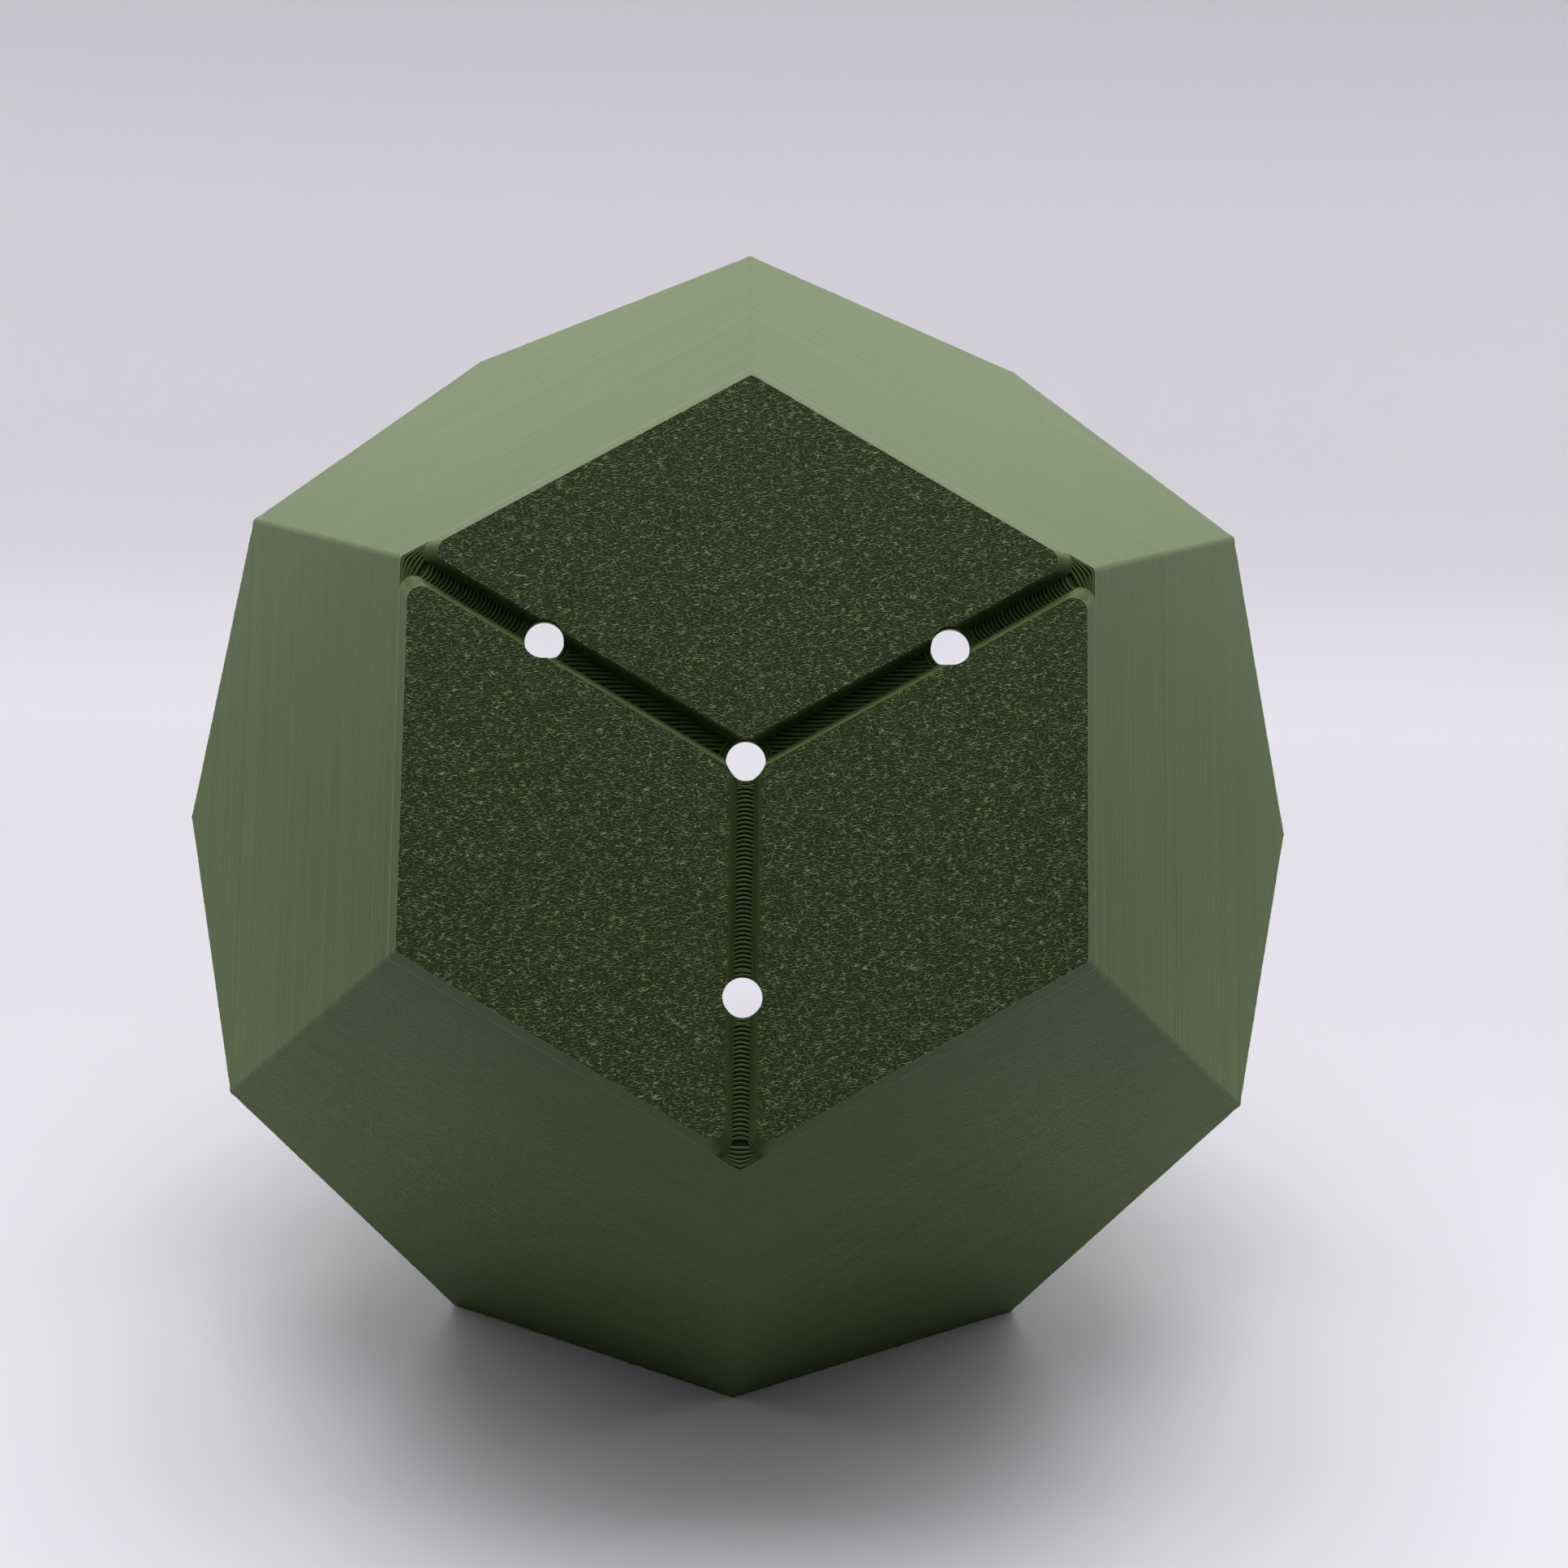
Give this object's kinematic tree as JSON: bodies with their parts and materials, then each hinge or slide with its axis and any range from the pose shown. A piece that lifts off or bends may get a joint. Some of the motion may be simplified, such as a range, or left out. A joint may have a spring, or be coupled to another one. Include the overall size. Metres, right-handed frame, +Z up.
{
  "type": "plant pot",
  "caption": "Small faceted plant pot with a hexagonal base and mouth, flat feet, drainage channels across its underside and drain holes through its floor.",
  "frame": {"origin": "centre of the base, on the ground plane of the three pads", "axes": "+Z up through the mouth; one drainage channel runs along +Y, the other two 120 degrees either side of it; two flat sides of the mouth face +Y and -Y"},
  "size_m": [0.1348, 0.1348, 0.08],
  "materials": {
    "printed_plastic": "matte, fine layer lines"
  },
  "bodies": {
    "root": {"pot": "printed_plastic"}
  },
  "joints": []
}
